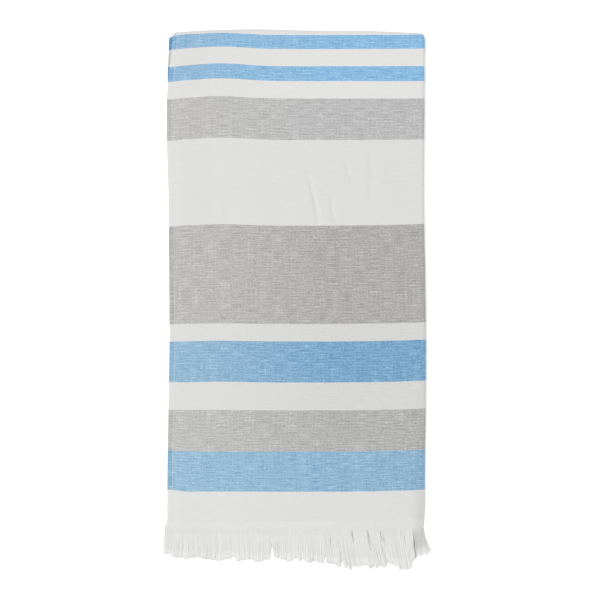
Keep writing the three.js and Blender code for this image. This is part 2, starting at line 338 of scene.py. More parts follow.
def fold_drop(x, distance):
    """How far the upper layer's middle has come down where it turns under along the lengthwise fold."""
    roll = edge(distance, "roll")
    past = np.clip((x - edge(distance, "right") + roll) / (roll - SHEET_HALF), 0, ROLL_READ)
    return (LOFT - LAYER_2_AT_FOLD) / 2 * (1 - np.sqrt(1 - past**2))


def place(x, level, reach, distance, turn):
    """Points of the folded stack, as the last axis, on the towel's own axes and then on the frame's."""
    x, level, reach, distance, turn = np.broadcast_arrays(x, level, reach, distance, turn)
    drawn = bow(x, distance) - near_fold(distance) * pattern_shift(x, distance)
    upper = np.maximum(np.cos(turn), 0)
    top = np.clip(level / LOFT, 0, 1)
    soft = (rise(x, distance) + crease(x, distance) * (level > LOFT - CLOTH)) * upper * top
    sag = 1 - END_SAG["share"] * smoothstep(distance, END_SAG["start"], FRINGE_START)
    middle = outer_level(x) + CLOTH / 2
    y = HEM_Y + FOLDED_LENGTH - distance + drawn + reach * np.sin(turn)
    corner = CORNER["drawn"] * smoothstep(np.abs(x), CORNER["start"], CORNER["end"])
    x = x - np.sign(x) * corner * np.maximum(np.sin(turn), 0) ** CORNER["power"]
    z = (middle * sag + level * sag * np.cos(turn) + soft) * pressed(x, distance)
    return np.stack([x + X_SHIFT, y, z], axis=-1)


def lines(steps):
    """Values from one end of a table of steps to the other."""
    parts = [
        np.linspace(start, end, max(1, round((end - start) / step)), endpoint=False)
        for start, end, step in zip(steps["start"], steps["end"], steps["step"])
    ]
    return np.append(np.concatenate(parts), steps["end"][-1])


def folded_rows():
    """Distance and turn of each row, from the near end round the crosswise fold to the far end."""
    upper, lower = lines(UPPER_STEPS)[::-1], lines(LOWER_STEPS)
    nose = np.pi * np.arange(1, NOSE_TURNS) / NOSE_TURNS
    distance = np.concatenate([upper, np.full(len(nose), FOLD_START), lower])
    turn = np.concatenate([np.zeros(len(upper)), nose, np.full(len(lower), np.pi)])
    return distance, turn


def pattern_along(x, reach, distance, turn):
    """Distance along the weave from the middle of the white band, which is the same on both sides of it.
    The inner layers' shorter turn hides their white band."""
    shown = distance - (reach + SHEET_HALF) * np.sin(turn)
    shift = near_fold(distance) * pattern_shift(x, distance)
    return np.abs(shown + np.where(turn <= np.pi / 2, shift, -shift))


# Each stretch of the sheet is x, level, reach, outward direction in x and level, and half the thickness


def hem_turn(edge_x, levels, reaches):
    up = np.arange(1, HEM_TURNS) / HEM_TURNS
    angle = np.pi * (up - 0.5)
    middle, radius = (levels[0] + levels[1]) / 2, (levels[1] - levels[0]) / 2
    x = edge_x + HEM_TURN - HEM_TURN * np.cos(angle)
    reach = reaches[0] + (reaches[1] - reaches[0]) * up
    return x, middle + radius * np.sin(angle), reach, -np.cos(angle), np.sin(angle), HEM_HALF


def layer_1(left, turn_start, distance, turn):
    across = lines(ACROSS_STEPS)
    share = (across - across[0]) / (across[-1] - across[0])
    x = left + HEM_TURN + (turn_start - left - HEM_TURN) * share
    return x, outer_level(x) + pucker(x, distance, turn), OUTER_REACH, 0, 1, SHEET_HALF


def lengthwise_fold(turn_start, roll):
    angle = np.pi / 2 - np.pi * np.arange(1, ROLL_TURNS) / ROLL_TURNS
    half = (LOFT - LAYER_2_AT_FOLD) / 2
    level = LAYER_2_AT_FOLD + half + half * np.sin(angle)
    reach = RETURN_REACH + (OUTER_REACH - RETURN_REACH) * (level - LAYER_2_AT_FOLD) / (2 * half)
    x = turn_start + (roll - SHEET_HALF) * np.cos(angle)
    return x, level, reach, np.cos(angle), np.sin(angle), SHEET_HALF


def layer_2(turn_start, hem_start):
    x = turn_start + (hem_start - turn_start) * np.linspace(0, 1, HIDDEN_LINES)
    widens = smoothstep(x, RETURN_EDGE - RETURN_WIDENS, RETURN_EDGE)
    return x, layer_2_level(x), INNER_REACH + (RETURN_REACH - INNER_REACH) * widens, 0, -1, SHEET_HALF


def section(distance, turn):
    """The sheet across the towel at each row: hem, layer 1, lengthwise fold, layer 2, hem."""
    left, inner = edge(distance, "outer_left"), edge(distance, "inner_left")
    roll = edge(distance, "roll")
    turn_start = edge(distance, "right") - roll
    hem = np.linspace(HEM_WIDTH, HEM_TURN, HEM_LINES)
    stretches = [
        (left + hem, OUTER_HEM, OUTER_HEM_REACH, 0, -1, HEM_HALF),
        hem_turn(left, (OUTER_HEM, LOFT_AT_HEM), (OUTER_HEM_REACH, OUTER_REACH)),
        layer_1(left, turn_start, distance, turn),
        lengthwise_fold(turn_start, roll),
        layer_2(turn_start, inner + HEM_TURN),
        hem_turn(inner, (LAYER_2_AT_FOLD, INNER_HEM), (INNER_REACH, INNER_HEM_REACH)),
        (inner + hem[::-1], INNER_HEM, INNER_HEM_REACH, 0, 1, HEM_HALF),
    ]
    whole = [np.stack(np.broadcast_arrays(*stretch, distance)[:-1]) for stretch in stretches]
    return np.concatenate(whole, axis=-1)


def write_mesh(name, points, faces, attributes, sharp_angle):
    """An object from points in millimetres, with smooth faces that stay sharp past an angle."""
    mesh = bpy.data.meshes.new(name)
    mesh.from_pydata((points.reshape(-1, 3) * MM).tolist(), [], faces.tolist())
    for key, values in attributes:
        layer = mesh.attributes.new(key, "FLOAT_VECTOR", "POINT")
        layer.data.foreach_set("vector", np.ascontiguousarray(values, dtype=np.float32).ravel())
    mesh.shade_smooth()
    mesh.set_sharp_from_angle(angle=math.radians(sharp_angle))
    made = bpy.data.objects.new(name, mesh)
    bpy.context.scene.collection.objects.link(made)
    return made


def grid_faces(ids):
    """Quads between neighbours of a grid of vertex numbers."""
    a, b, c, d = ids[:-1, :-1], ids[:-1, 1:], ids[1:, 1:], ids[1:, :-1]
    return np.stack([a, b, c, d], axis=-1).reshape(-1, 4)


def towel_sheet():
    """The whole woven sheet as a closed shell. For the material, its points keep where they are across and
    along the weave, and which side of the crosswise fold they are on."""
    distance, turn = (values[:, None] for values in folded_rows())
    x, level, reach, out_x, out_level, half = section(distance, turn)
    points = np.stack(
        [
            place(x + out * out_x, level + out * out_level, reach + out * out_level, distance, turn)
            for out in (half, -half)
        ]
    )
    ids = np.arange(2 * x.size).reshape(2, *x.shape)
    rims = [ids[:, 0, :][::-1], ids[:, -1, :], ids[:, :, 0], ids[:, :, -1][::-1]]
    faces = [grid_faces(ids[0]), grid_faces(ids[1])[:, ::-1], *map(grid_faces, rims)]

    steps = np.linalg.norm(np.diff(points.mean(axis=0)[len(x) // 3], axis=0), axis=-1)
    cloth = np.zeros(points.shape)
    cloth[..., 0] = np.concatenate([[0], np.cumsum(steps)]) * MM
    cloth[..., 1] = pattern_along(x, reach, distance, turn) * MM
    cloth[..., 2] = turn > np.pi / 2
    return write_mesh("towel_sheet", points, np.concatenate(faces), [("cloth", cloth)], SHEET_SHARP)


TUBE_SIDES = 6


def tubes(name, bundles):
    """Closed tubes along paths of the same number of points, as one mesh. For the material, each point
    keeps its yarn's values and its direction round the yarn."""
    paths, radii, yarn = (np.concatenate(arrays) for arrays in zip(*bundles))
    count, length, _ = paths.shape
    along = np.gradient(paths, axis=1)
    along /= np.linalg.norm(along, axis=-1, keepdims=True)
    across = np.cross(along, [0.0, 0.0, 1.0])
    across /= np.linalg.norm(across, axis=-1, keepdims=True)
    up = np.cross(across, along)
    angle = 2 * np.pi * np.arange(TUBE_SIDES) / TUBE_SIDES
    ring = across[:, :, None] * np.cos(angle)[:, None] + up[:, :, None] * np.sin(angle)[:, None]
    points = paths[:, :, None] + radii[:, :, None, None] * ring
    turned = np.zeros(points.shape)
    turned[..., 0], turned[..., 1] = np.cos(angle), np.sin(angle)
    ids = np.arange(count * length * TUBE_SIDES).reshape(count, length, TUBE_SIDES)
    values = [("yarn", np.broadcast_to(yarn[:, :, None], points.shape)), ("turned", turned)]
    return write_mesh(name, points, tube_faces(ids), values, TUBE_SHARP)


def tube_faces(ids):
    """Walls and end caps of tubes, as quads, from their grids of vertex numbers."""
    around = np.concatenate([ids, ids[:, :, :1]], axis=2)
    a, b = around[:, :-1, :-1], around[:, :-1, 1:]
    c, d = around[:, 1:, 1:], around[:, 1:, :-1]
    faces = [np.stack([a, d, c, b], axis=-1).reshape(-1, 4)]
    for end, order in ((0, 1), (-1, -1)):
        for k in range(TUBE_SIDES // 2 - 1):
            quad = ids[:, end, [k, k + 1, TUBE_SIDES - 2 - k, TUBE_SIDES - 1 - k]]
            faces.append(quad[:, ::order])
    return np.concatenate(faces)


# Where the fringe's ends come to, seen from above: their x, and how far they are past the woven strip
FRINGE_ENDS = named(
    "x reach",
    (-235, 43),
    (-228, 45),
    (-222.5, 43),
    (-220.5, 47.5),
    (-216, 50.5),
    (-187, 52.5),
    (-175, 50),
    (-165, 53.5),
    (-138, 56.5),
    (-118, 54),
    (-115, 51),
    (-110.5, 48.5),
    (-108.5, 56.5),
    (-104, 57.5),
    (-92, 55.5),
    (-82, 54),
    (-70, 57.5),
    (-60.5, 58),
    (-58.5, 54.5),
    (-48, 54),
    (-45.2, 52),
    (-44.4, 37),
    (-42.6, 31),
    (-41.4, 34),
    (-40.8, 49),
    (-36, 52),
    (-31, 51),
    (-22, 56.5),
    (-8, 57),
    (-2, 51),
    (1, 51.5),
    (5, 58),
    (8.5, 57.5),
    (9.5, 51.5),
    (16, 59.5),
    (24, 60.5),
    (32, 57),
    (37, 57.5),
    (40, 61),
    (46, 62.5),
    (48, 62.5),
    (49, 51),
    (51.5, 50),
    (53, 61),
    (60, 63),
    (68, 64),
    (73, 68),
    (78, 68.5),
    (79.5, 58),
    (82, 58),
    (84, 70),
    (88, 71),
    (91, 66),
    (93, 74),
    (96, 73.5),
    (98, 67),
    (122, 65),
    (130, 69),
    (142, 69),
    (146, 65.5),
    (153, 69),
    (159, 66),
    (162, 59.5),
    (164, 59.5),
    (167, 64.5),
    (179, 66),
    (182, 73),
    (185, 70),
    (193, 72.5),
    (201, 70),
    (203.5, 56.5),
    (208, 53.5),
    (217, 48),
    (220, 51),
    (226, 46),
    (233, 45),
    (238, 43.5),
)
# How far the yarns lean to the right by their ends, by the x of their roots
FRINGE_LEAN = named(
    "x lean",
    (-231.5, -3.4),
    (-216, -4),
    (-170, -1.5),
    (-110, 0),
    (-62, 0),
    (10, 2),
    (46, 3),
    (60, 7),
    (84, 11),
    (165, 14),
    (185, 11),
    (198, 6),
    (205, 5),
    (212, 8),
    (218, 11),
    (223.5, 14.8),
)
# Piles of yarn from each layer: which side of the stack's middle it is on, how high the yarns come to
# rest, how thick the pile is, and how much shorter they are than the ends that show
PILES = {
    "layer_1": dict(yarns=1180, side=1, level=LOFT, rest=4.2, pile=0.6, shorter=0, seed=11),
    "layer_2": dict(yarns=600, side=1, level=LAYER_2, rest=3.5, pile=0.7, shorter=3, seed=12),
    "layer_3": dict(yarns=300, side=-1, level=LAYER_2, rest=1.5, pile=0.9, shorter=5, seed=13),
    "layer_4": dict(yarns=420, side=-1, level=LOFT, rest=0.6, pile=0.7, shorter=4, seed=14),
}
# A yarn's radius, how that varies, and its share at both ends
YARN = {"radius": 0.58, "spread": (0.8, 1.2), "at_start": 0.6, "at_tip": 0.5, "points": 9}
# Yarns start inside the woven strip's last few millimetres, and their roots stand up a little past it
ROOTS = {
    "inset": 0.8,
    "jitter": (0.1, 0.9),
    "back": 7.0,
    "least_back": 1.0,
    "sunk": 0.1,
    "raised": (0.1, 0.4),
    "out": 0.5,
}
FRINGE_SIDES = (-234.8, 238.0)  # no yarn ends past these
FALL_LENGTH = 34.0  # how far along the yarns have come down on the pile
# How far the tips come down, as a share of the height that their pile rests at, more in some clumps
TIP_FALL = {"share": 0.3, "least": 0.7, "spread": 0.6, "power": 4}
LEAN_POWER = {"pile": 1.2, "fold": 0.5}  # the yarns off the lengthwise fold bend further along
# Clumps of yarn that lie together: how many, how far apart and how that varies, where they start, and the
# largest share of the way that a yarn is drawn to its clump's middle
CLUMPS = {"count": 120, "apart": 4.5, "spread": (0.4, 1.6), "start": -234.0, "gather": 0.08}
# How the leans of clumps, yarns and strays vary, and the share of the yarns that are strays
SCATTER = {"clump": 0.35, "yarn": 0.8, "stray": 3.0, "strays": 0.1}
RAGGED = {"clump": 0.014, "yarn": 0.009}  # how the lengths vary, as shares
WAVES = {"turns": (0.6, 1.5), "width": 0.3}
# To the left of its start the fringe is combed: its yarns keep this share of their unevenness
COMBED = {"start": 20.0, "end": 80.0, "share": 0.4}
# Painted shade and light on the yarns, as shares of their own colour: painted shade where they are packed at
# their roots, less where they open further along, and painted light at their tips. Off the lengthwise fold
# they lie in its shade, painted deeper.
PAINTED_YARN_SHADE = {"packed": 0.9, "open": 0.955, "painted_tip_light": 1.09, "fold": 0.77}
OPEN_BY = 22.0  # how far along the yarns have opened out
TIP_LIGHT_FROM = 0.72  # where the painted light on the tips starts, as a share of the yarn's length
SHADE_STARTS = (-2.0, 12.0)  # how far along the yarns the fold's painted shade comes in
SHADE_ENDS = (0.45, 1.0)  # and goes again, as shares of their length
# Yarns off the lengthwise fold lie lower than the pile beside them, which is heaped up against them
FOLD_YARNS = {"start": 203.0, "end": 205.5, "share": 0.75, "heap": 1.6, "reach": 12.0}
# Slits where the yarns part: x of their roots, how far they part, where along them, and whether the slit
# goes through every layer
PARTINGS = named(
    "x width middle through",
    (-215, 0.4, 0.3, 0),
    (-180, 0.5, 0.4, 0),
    (-126, 0.2, 0.2, 0),
    (-43.8, 1.8, 1.0, 1),
    (-20, 0.2, 0.3, 0),
    (50, 0.9, 1.1, 1),
    (58, 0.4, 0.3, 0),
    (97, 1.1, 0.26, 0),
    (124, 2.8, 0.32, 0),
    (147, 1.6, 0.26, 0),
    (170, 0.6, 0.4, 0),
    (186, 2.1, 0.34, 0),
    (205, 1.6, 0.6, 0),
)
PARTING_REACH = 4.0  # how far to its sides a slit pushes the yarns
PARTING_LENGTH = 0.2  # as a share of the yarns'
GATHERED = (0.1, 0.9)  # share of their length over which the yarns of a clump come together
LYING_ACROSS = {"share": 0.35, "lower": 0.5}  # upper yarns that stay in the slits, a little lower


def parted(x, t, on_top):
    """How far the yarns are pushed aside by the slits, seen from above."""
    total = np.zeros(np.broadcast(x, t).shape)
    for i, width in enumerate(PARTINGS["width"]):
        offset = (x - PARTINGS["x"][i]) / PARTING_REACH
        along = bell((t - PARTINGS["middle"][i]) / PARTING_LENGTH)
        share = np.maximum(on_top, PARTINGS["through"][i])
        total += width * share * np.sign(offset) * bell(offset) * along
    return total


def loose_wave(random, t, yarns):
    turns = random.uniform(*WAVES["turns"], yarns)[:, None] * t + random.random(yarns)[:, None]
    return random.normal(0, WAVES["width"], yarns)[:, None] * np.sin(2 * np.pi * turns) * t


def painted_yarn_shading(along, t, fallen):
    """The painted shade and light along the yarns: shade where the pile is packed and where they come off
    the lengthwise fold, light at their tips.
    """
    open_part = PAINTED_YARN_SHADE["packed"] + (PAINTED_YARN_SHADE["open"] - PAINTED_YARN_SHADE["packed"]) * smoothstep(along, 0, OPEN_BY)
    at_fold = PAINTED_YARN_SHADE["fold"] + (PAINTED_YARN_SHADE["packed"] - PAINTED_YARN_SHADE["fold"]) * smoothstep(t, *SHADE_ENDS)
    at_fold = at_fold + (PAINTED_YARN_SHADE["packed"] - at_fold) * (1 - smoothstep(along, *SHADE_STARTS))
    painted_tip_light = (PAINTED_YARN_SHADE["painted_tip_light"] - PAINTED_YARN_SHADE["open"]) * smoothstep(t, TIP_LIGHT_FROM, 1.0)
    return open_part + (at_fold - open_part) * fallen + painted_tip_light


def yarn_roots(random, yarns, side, level):
    """Where each yarn leaves the woven strip: its x, a point inside the strip, and its root."""
    outer = level == LOFT
    left = edge(FRINGE_START, "outer_left" if outer else "inner_left") + ROOTS["inset"]
    right = edge(FRINGE_START, "right") - ROOTS["inset"]
    x = left + (right - left) * (np.arange(yarns) + random.uniform(*ROOTS["jitter"], yarns)) / yarns
    drop = fold_drop(x, FRINGE_START)
    own_level = outer_level(x) - drop if outer else layer_2_level(x) + drop
    turn = 0.0 if side > 0 else np.pi
    back = ROOTS["back"] * random.random(yarns) + ROOTS["least_back"]
    start = place(x, own_level - ROOTS["sunk"], 0, FRINGE_START - back, turn)
    root_level = own_level + random.uniform(*ROOTS["raised"], yarns)
    return x, start, place(x, root_level, 0, FRINGE_START + ROOTS["out"], turn)


def yarn_ends(random, x, shorter):
    """Where each yarn goes: its clump, the share of unevenness it keeps, how far it is gathered into its
    clump, its lean and its length."""
    count, yarns = CLUMPS["count"], len(x)
    clumps = np.cumsum(random.uniform(*CLUMPS["spread"], count) * CLUMPS["apart"]) + CLUMPS["start"]
    mine = np.argmin(np.abs(x[:, None] - clumps[None, :]), axis=1)
    uneven = COMBED["share"] + (1 - COMBED["share"]) * smoothstep(x, COMBED["start"], COMBED["end"])
    gather = (clumps[mine] - x) * random.uniform(0.0, CLUMPS["gather"], yarns) * uneven
    scatter = random.normal(0, SCATTER["clump"], count)[mine]
    strays = random.random(yarns) < SCATTER["strays"]
    scatter = scatter + random.normal(0, SCATTER["yarn"], yarns)
    scatter = scatter + strays * random.normal(0, SCATTER["stray"], yarns)
    lean = read(FRINGE_LEAN, "x", "lean", x) + scatter * uneven
    lean = np.clip(x + lean, *FRINGE_SIDES) - x
    reach = np.interp(x + gather + lean, FRINGE_ENDS["x"], FRINGE_ENDS["reach"]) - shorter
    reach *= 1 + random.normal(0, RAGGED["clump"], count)[mine] + random.normal(0, RAGGED["yarn"], yarns)
    return mine, uneven, gather, lean, reach + bow(x, FRINGE_START)


def yarn_heights(random, x, rest, pile, on_top, lying_across, fallen):
    """The height at which each yarn comes to rest."""
    heaped = FOLD_YARNS["heap"] * bell((x - FOLD_YARNS["start"]) / FOLD_YARNS["reach"])
    lower = 1 - FOLD_YARNS["share"] * fallen
    raised = on_top * (heaped - LYING_ACROSS["lower"] * lying_across)
    return (rest + pile * random.random(len(x)) + raised) * lower


def yarn_paths(yarns, side, level, rest, pile, shorter, seed):
    """Loose warp ends of one layer: paths, radii, and what their material reads."""
    random = np.random.default_rng(seed)
    x, start, root = yarn_roots(random, yarns, side, level)
    mine, uneven, gather, lean, reach = yarn_ends(random, x, shorter)
    t = np.linspace(0, 1, YARN["points"] - 1)[None, :]
    along = t * reach[:, None]
    wave = loose_wave(random, t, yarns) * uneven[:, None]
    on_top = level == LOFT and side > 0
    lying_across = random.random(yarns) < LYING_ACROSS["share"]
    fallen = smoothstep(x, FOLD_YARNS["start"], FOLD_YARNS["end"])

    aside = parted(x[:, None], t, (on_top & ~lying_across)[:, None])
    aside = aside + gather[:, None] * smoothstep(t, *GATHERED)
    bend = t ** (LEAN_POWER["pile"] + LEAN_POWER["fold"] * fallen[:, None])
    path_x = root[:, :1] + lean[:, None] * bend + aside + wave
    height = yarn_heights(random, x, rest, pile, on_top, lying_across, fallen)
    fall = smoothstep(along, 0, FALL_LENGTH)
    tip_fall = TIP_FALL["least"] + TIP_FALL["spread"] * random.random(CLUMPS["count"])[mine][:, None]
    path_z = root[:, 2:] * (1 - fall) + height[:, None] * fall
    path_z -= TIP_FALL["share"] * rest * tip_fall * t ** TIP_FALL["power"]
    paths = np.stack([path_x, root[:, 1:2] - along, path_z], axis=-1)
    paths = np.concatenate([start[:, None], paths], axis=1)

    own_radius = YARN["radius"] * random.uniform(*YARN["spread"], yarns)[:, None]
    radii = own_radius * np.where(t < 1, 1.0, YARN["at_tip"])
    radii = np.concatenate([own_radius * YARN["at_start"], radii], axis=1)
    paths[..., 2] = np.maximum(paths[..., 2], radii)

    t = np.concatenate([[[0.0]], t], axis=1)
    along = t * reach[:, None]
    yarn = np.zeros(paths.shape)
    yarn[..., 0] = random.random(yarns)[:, None]
    yarn[..., 1] = along * MM
    # painted shade and light along each yarn
    yarn[..., 2] = painted_yarn_shading(along, t, fallen[:, None])
    return paths, radii, yarn


def fringe(name, *layers):
    return tubes(name, [yarn_paths(**PILES[layer]) for layer in layers])


STITCH = {
    "pitch": 3.6,
    "length": 3.1,
    "radius": 0.36,
    "at_ends": 0.6,
    "arch": 0.3,
    "rise": 0.12,
    "sunk": -0.3,
    "points": 6,
    "tones": (0.7, 1.0),
    "seed": 5,
}
ROW_ENDS = {"along": 2.0, "across": 3.0}  # how far short of the cloth's edges the rows stop
FOLD_STEPS = 200  # steps along the nose that space its stitches evenly


def stitches(x, distance, turn, step_x=0.0, step_distance=0.0, step_turn=0.0):
    """Short stitches on the towel's outside, round the points given: paths, radii, and material values."""
    t = np.linspace(-0.5, 0.5, STITCH["points"])[None, :]
    xs = x[:, None] + STITCH["length"] * t * step_x
    distances = distance[:, None] + STITCH["length"] * t * step_distance
    turns = turn[:, None] + STITCH["length"] * t * np.reshape(step_turn, (-1, 1))
    arch = STITCH["arch"] * ((2 * t) ** 4)
    below = smoothstep(turns, np.pi / 2, np.pi)
    stand = SHEET_HALF + (STITCH["rise"] - arch) * (1 - below) + STITCH["sunk"] * below
    level = outer_level(xs) + pucker(xs, distances, turns) + stand - fold_drop(xs, distances)
    paths = place(xs, level, OUTER_REACH + stand, distances, turns)
    radii = STITCH["radius"] * np.where(np.abs(t) < 0.5, 1.0, STITCH["at_ends"]) * np.ones_like(level)
    paths[..., 2] = np.maximum(paths[..., 2], radii)
    yarn = np.zeros(paths.shape)
    yarn[..., 0] = np.random.default_rng(STITCH["seed"]).uniform(*STITCH["tones"], len(x))[:, None]
    yarn[..., 1] = STITCH["length"] * t * MM
    # the stitches take the painted shade of open yarn
    yarn[..., 2] = PAINTED_YARN_SHADE["open"]
    return paths, radii, yarn


def seam_x(distance):
    return edge(distance, "outer_left") + HEM_WIDTH - SEAM_INSET


def side_stitches(turn):
    short = ROW_ENDS["along"]
    distance = np.arange(FOLD_START + short, FOLDED_LENGTH - short, STITCH["pitch"])
    return stitches(seam_x(distance), distance, np.full(len(distance), turn), step_distance=1)


def fold_stitches():
    """The side hem's stitches where they go round the crosswise fold."""
    turn = np.linspace(0, np.pi, FOLD_STEPS)
    pace = np.hypot((OUTER_REACH + SHEET_HALF) * np.cos(turn), (LOFT_AT_HEM + SHEET_HALF) * np.sin(turn))
    along = np.cumsum(pace) * turn[1]
    at = np.interp(np.arange(STITCH["pitch"] / 2, along[-1], STITCH["pitch"]), along, turn)
    distance = np.full(len(at), FOLD_START)
    return stitches(seam_x(distance), distance, at, step_turn=1 / np.interp(at, turn, pace))


def end_stitches(turn):
    """The row that locks the last pick, where the warp ends are left loose past a narrow woven strip."""
    left, right = edge(FOLDED_LENGTH, "outer_left"), edge(FOLDED_LENGTH, "right")
    x = np.arange(left + ROW_ENDS["across"], right - ROW_ENDS["across"], STITCH["pitch"])
    return stitches(x, np.full(len(x), FOLDED_LENGTH), np.full(len(x), turn), step_x=1)


def sewing(name):
    rows = [row(turn) for row in (side_stitches, end_stitches) for turn in (0.0, np.pi)]
    return tubes(name, [*rows, fold_stitches()])


def linear(srgb, gain=1.0):
    """A colour seen as these sRGB levels, as a surface colour in the scene's light."""
    levels = np.array(srgb) / 255
    values = np.where(levels <= 0.04045, levels / 12.92, ((levels + 0.055) / 1.055) ** 2.4)
    return (*(values * gain).clip(0, 1), 1.0)


GAIN = 0.877  # surface colour for one unit of what the camera sees


class Shader:
    """A short way to add nodes to a material and join them."""

    def __init__(self, name):
        self.material = bpy.data.materials.new(name)
        self.material.use_nodes = True
        self.nodes = self.material.node_tree.nodes
        self.links = self.material.node_tree.links
        self.surface = self.nodes["Principled BSDF"]

    def feed(self, socket, value):
        if isinstance(value, bpy.types.NodeSocket):
            self.links.new(value, socket)
        else:
            socket.default_value = value

    def add(self, kind, out=0, inputs=(), **settings):
        made = self.nodes.new(kind)
        for key, value in settings.items():
            setattr(made, key, value)
        for key, value in dict(inputs).items():
            self.feed(made.inputs[key], value)
        return made.outputs[out]

    def attribute(self, name):
        return self.add("ShaderNodeAttribute", out="Vector", attribute_name=name)

    def math(self, operation, *values):
        return self.add("ShaderNodeMath", inputs=enumerate(values), operation=operation)

    def noise(self, vector, cells, detail, roughness):
        """Noise of so many cells to the metre along each axis."""
        vector = self.scaled(vector, cells)
        inputs = {"Vector": vector, "Scale": 1.0, "Detail": detail, "Roughness": roughness}
        return self.add("ShaderNodeTexNoise", inputs=inputs)

    def axis(self, vector, name):
        return self.add("ShaderNodeSeparateXYZ", out=name, inputs={0: vector})

    def scaled(self, vector, factors):
        return self.add("ShaderNodeVectorMath", inputs={0: vector, 1: factors}, operation="MULTIPLY")

    def dimmed(self, colour, factor):
        return self.add("ShaderNodeVectorMath", inputs={0: colour, "Scale": factor}, operation="SCALE")

    def spread(self, value, low, high, out_low=0.0, out_high=1.0):
        inputs = {0: value, 1: low, 2: high, 3: out_low, 4: out_high}
        return self.add("ShaderNodeMapRange", inputs=inputs)

    def steps(self, factor, stops):
        """One colour after another, each from its own position on."""
        made = self.nodes.new("ShaderNodeValToRGB")
        made.color_ramp.interpolation = "CONSTANT"
        elements = made.color_ramp.elements
        while len(elements) < len(stops):
            elements.new(1.0)
        for element, (position, colour) in zip(elements, stops):
            element.position = position
            element.color = colour
        self.links.new(factor, made.inputs["Fac"])
        return made.outputs["Color"]

    def mix(self, factor, a, b):
        return self.add("ShaderNodeMix", out=2, inputs={0: factor, 6: a, 7: b}, data_type="RGBA")

    def bump(self, height, distance):
        inputs = {"Height": height, "Distance": distance, "Strength": 1.0}
        return self.add("ShaderNodeBump", inputs=inputs)

    def finish(self, settings):
        for key, value in settings.items():
            self.feed(self.surface.inputs[key], value)
        return self.material


RIB = 5.0  # repeat of the thicker picks
THREAD = 0.9  # pitch of the plain weave
RELIEF = {"weave": 0.35, "ribs": 0.25, "mottle": 0.4, "height": 0.12}
# Noise in the cloth: its cells to the metre across and along the weave, its detail and its roughness
RAGGED_PICKS = {"cells": (700, 300, 1), "detail": 2.0, "roughness": 0.6}
FLECKS = {"cells": (300, 860, 1), "detail": 2.0, "roughness": 0.65}
STREAKS = {"cells": (42, 700, 1), "detail": 2.0, "roughness": 0.6}
WARP_LINES = {"cells": (620, 14, 1), "detail": 1.0, "roughness": 0.5}
SLUBS = {"cells": (190, 520, 1), "detail": 1.0, "roughness": 0.5}
# How far each of them changes the dye: mottling both ways, thick slubs to deeper and thin ones to paler
MOTTLING = ((FLECKS, 0.8), (STREAKS, 0.75), (WARP_LINES, 0.22))
RIB_DYE = 0.12
# Stretches of a value, each with what it becomes at its two ends
WANDERING = (0.25, 0.75, -0.4 * MM, 0.4 * MM)  # how far a stripe's edge wanders, from its noise
MOTTLED = (0.3, 0.7)
THICK_SLUBS = (0.70, 0.78, 0.0, -1.8)
THIN_SLUBS = (0.30, 0.24, 0.0, 1.5)
FLECKED = (0.45, 0.62, 0.36, 0.072)  # strength of the uneven dye in dyed and in white stripes, by paleness
DYE_AND_SHADE_ACROSS = (0.03, 0.30)  # metres across the cloth, where the colours change from the selvedge's, by dye and by painted shade and light
HEM_DEEPER = (0.017, 0.019, 0.4, 0.0)  # the colour is deeper on the hem's own cloth, in the flecks' measure
HIDDEN_HALF_GAMMA = (0.5, 0.6, 1.0, 1.45)  # gamma of the half that the fold hides, by metres across the cloth: a deeper colour, which also darkens its whites as painted shade
# painted shade that dims the half that the fold hides
HIDDEN_HALF_SHADE = (0.5, 0.6, 1.0, 0.88)
SHEET_WIDTH = 0.93  # metres across the cloth with its hems
COTTON = {"Roughness": 0.92, "Specular IOR Level": 0.2, "Sheen Weight": 0.25, "Sheen Roughness": 0.5}


def stripe_colour(shader, cloth, across, along):
    """The stripes, with painted shade and light across the towel, and the weave's ragged line between them.
    """
    wander = shader.spread(shader.noise(cloth, **RAGGED_PICKS), *WANDERING)
    pick = shader.math("ADD", along, wander)
    stripe = 0.5  # each stripe reads the middle of its own step
    for _, end in STRIPES[:-1]:
        stripe = shader.math("ADD", shader.math("GREATER_THAN", pick, end * MM), stripe)
    count = len(STRIPES)
    stripe = shader.math("DIVIDE", stripe, count)
    # Further in, the colours carry painted shade and light besides the deeper dye
    at_edge, further_in_shaded = (
        shader.steps(
            stripe,
            [(k / count, linear(PALETTE[name][side], GAIN)) for k, (name, _) in enumerate(STRIPES)],
        )
        for side in (0, 1)
    )
    from_selvedge = shader.math("MINIMUM", across, shader.math("SUBTRACT", SHEET_WIDTH, across))
    return shader.mix(shader.spread(from_selvedge, *DYE_AND_SHADE_ACROSS), at_edge, further_in_shaded)


def mottling(shader, cloth):
    """Unevenness of the threads, as a change of the dye and of the cloth's relief."""
    flecks, streaks, warp_lines = (
        shader.spread(shader.noise(cloth, **kind), *MOTTLED, -by, by) for kind, by in MOTTLING
    )
    return shader.math("ADD", shader.math("ADD", flecks, streaks), warp_lines)


def dyed_and_shaded(shader, colour, cloth, across, mottle):
    """Thin places let the pale warp through and thick ones deepen the dye, which shows least in white
    yarn. The half that the fold hides is deeper in colour and dimmed with painted shade."""
    slubs = shader.noise(cloth, **SLUBS)
    dye = shader.math("ADD", mottle, shader.spread(slubs, *THICK_SLUBS))
    dye = shader.math("ADD", dye, shader.spread(slubs, *THIN_SLUBS))
    strength = shader.spread(shader.add("ShaderNodeRGBToBW", inputs={"Color": colour}), *FLECKED)
    # The half that the fold hides gets a deeper colour and painted shade
    deepened = shader.spread(across, *HIDDEN_HALF_GAMMA)
    at_hem = shader.math("SUBTRACT", shader.spread(across, *HEM_DEEPER), dye)
    exponent = shader.math("MULTIPLY_ADD", strength, at_hem, deepened)
    colour = shader.add("ShaderNodeGamma", inputs={"Color": colour, "Gamma": exponent})
    return shader.dimmed(colour, shader.spread(across, *HIDDEN_HALF_SHADE))


